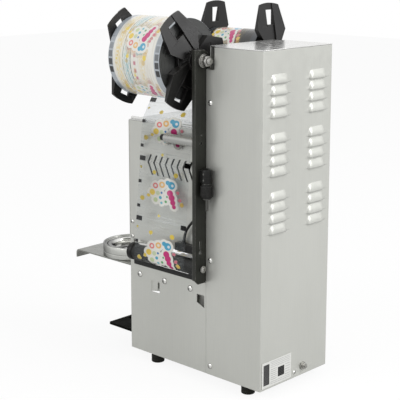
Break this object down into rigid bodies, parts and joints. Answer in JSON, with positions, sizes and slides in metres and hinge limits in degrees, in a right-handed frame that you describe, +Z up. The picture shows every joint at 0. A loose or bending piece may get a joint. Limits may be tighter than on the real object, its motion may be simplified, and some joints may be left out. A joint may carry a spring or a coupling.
{
  "type": "cup sealing machine",
  "caption": "Upright cup sealing machine: louvred steel tower, film supply and take-up rolls over a head, film web down both sides, sliding tray with a ring for one cup.",
  "frame": {"origin": "floor level under the centre of the whole machine's bounding box", "axes": "+X the side that carries the film supply roll, +Y the louvred rear, -Y the front where the tray slides out, +Z up"},
  "size_m": [0.4013, 0.5855, 0.736],
  "materials": {
    "case_steel": "brushed",
    "dark_paint": "satin",
    "black_plastic": "satin",
    "black_gloss": "gloss",
    "green_plastic": "gloss",
    "red_plastic": "gloss",
    "bright_metal": "polished",
    "alloy": "satin",
    "rubber": "matt",
    "film": "clear printed film",
    "film_roll": "printed film on a roll",
    "board": "satin",
    "label": "matt"
  },
  "bodies": {
    "frame": {"base_plate": "case_steel", "base_tray": "dark_paint", "control_board": "board", "control_overlay": "black_gloss", "display_window": "black_gloss", "earth_terminal": "bright_metal", "film_sensor": "black_plastic", "film_web": "film", "foot_front_left": "rubber", "foot_front_right": "rubber", "foot_rear_left": "rubber", "foot_rear_right": "rubber", "front_fascia": "case_steel", "guide_tube_left": "alloy", "guide_tube_right": "alloy", "head_bridge": "case_steel", "head_motor": "black_plastic", "head_top_cover": "case_steel", "inner_panel": "case_steel", "power_inlet": "black_plastic", "rating_plate": "label", "rear_cover": "case_steel", "roll_post_left": "dark_paint", "roll_post_right": "dark_paint", "roller_axle_left": "bright_metal", "roller_axle_right": "bright_metal", "sensor_cable": "black_plastic", "side_panel_left": "case_steel", "side_panel_right": "case_steel", "supply_end_nut": "black_plastic", "supply_nut": "bright_metal", "supply_shaft": "bright_metal", "supply_spring": "bright_metal", "takeup_gearmotor": "black_plastic", "tension_block": "black_plastic", "top_plate": "case_steel", "transformer": "black_plastic", "tray_motor": "alloy", "tray_rail_left": "case_steel", "tray_rail_right": "case_steel"},
    "supply_reel": {"supply_roll": "film_roll", "supply_flange_rear": "black_plastic", "supply_flange_front": "black_plastic"},
    "takeup_reel": {"takeup_roll": "film_roll", "takeup_flange_rear": "black_plastic", "takeup_flange_front": "black_plastic", "takeup_shaft": "bright_metal"},
    "roller_right": {"film_roller_right": "rubber"},
    "roller_left": {"film_roller_left": "rubber"},
    "tray": {"cup_tray": "case_steel", "cup_ring": "alloy", "cup_seat": "bright_metal"},
    "head": {"head_carriage": "alloy", "seal_heater": "alloy"},
    "rocker": {"power_rocker": "black_plastic"},
    "knob": {"tension_knob": "black_plastic"},
    "button_start": {"start_button": "green_plastic"},
    "button_mode": {"mode_button": "black_plastic"},
    "button_stop": {"stop_button": "red_plastic"}
  },
  "joints": [
    {"name": "supply_roll_spin", "type": "hinge", "parent": "frame", "child": "supply_reel", "pos_m": [0.122, 0.039, 0.638], "axis": [0, 1, 0], "continuous": true},
    {"name": "takeup_roll_spin", "type": "hinge", "parent": "frame", "child": "takeup_reel", "pos_m": [-0.106, 0.039, 0.638], "axis": [0, 1, 0], "continuous": true},
    {"name": "roller_right_spin", "type": "hinge", "parent": "frame", "child": "roller_right", "pos_m": [0.121, 0.039, 0.2335], "axis": [0, 1, 0], "continuous": true},
    {"name": "roller_left_spin", "type": "hinge", "parent": "frame", "child": "roller_left", "pos_m": [-0.105, 0.039, 0.2335], "axis": [0, 1, 0], "continuous": true},
    {"name": "tray_slide", "type": "slide", "parent": "frame", "child": "tray", "axis": [0, 1, 0], "range_m": [0, 0.21225]},
    {"name": "head_press", "type": "slide", "parent": "frame", "child": "head", "axis": [0, 0, -1], "range_m": [0, 0.014]},
    {"name": "power_rocker_tip", "type": "hinge", "parent": "frame", "child": "rocker", "pos_m": [-0.091, 0.22, 0.113], "axis": [0, 0, -1], "range_deg": [0, 12]},
    {"name": "tension_knob_turn", "type": "hinge", "parent": "frame", "child": "knob", "pos_m": [0.123, 0.1581, 0.39], "axis": [0, 0, 1], "continuous": true},
    {"name": "start_button_press", "type": "slide", "parent": "frame", "child": "button_start", "axis": [0, 1, 0], "range_m": [0, 0.002], "stiffness_N_per_m": 250, "springref_m": -0.0005},
    {"name": "mode_button_press", "type": "slide", "parent": "frame", "child": "button_mode", "axis": [0, 1, 0], "range_m": [0, 0.002], "stiffness_N_per_m": 250, "springref_m": -0.0005},
    {"name": "stop_button_press", "type": "slide", "parent": "frame", "child": "button_stop", "axis": [0, 1, 0], "range_m": [0, 0.002], "stiffness_N_per_m": 250, "springref_m": -0.0005}
  ],
  "couplings": [
    {"joint": "takeup_roll_spin", "follows": "supply_roll_spin", "ratio": 1.8046},
    {"joint": "roller_right_spin", "follows": "supply_roll_spin", "ratio": -5},
    {"joint": "roller_left_spin", "follows": "supply_roll_spin", "ratio": -5}
  ]
}
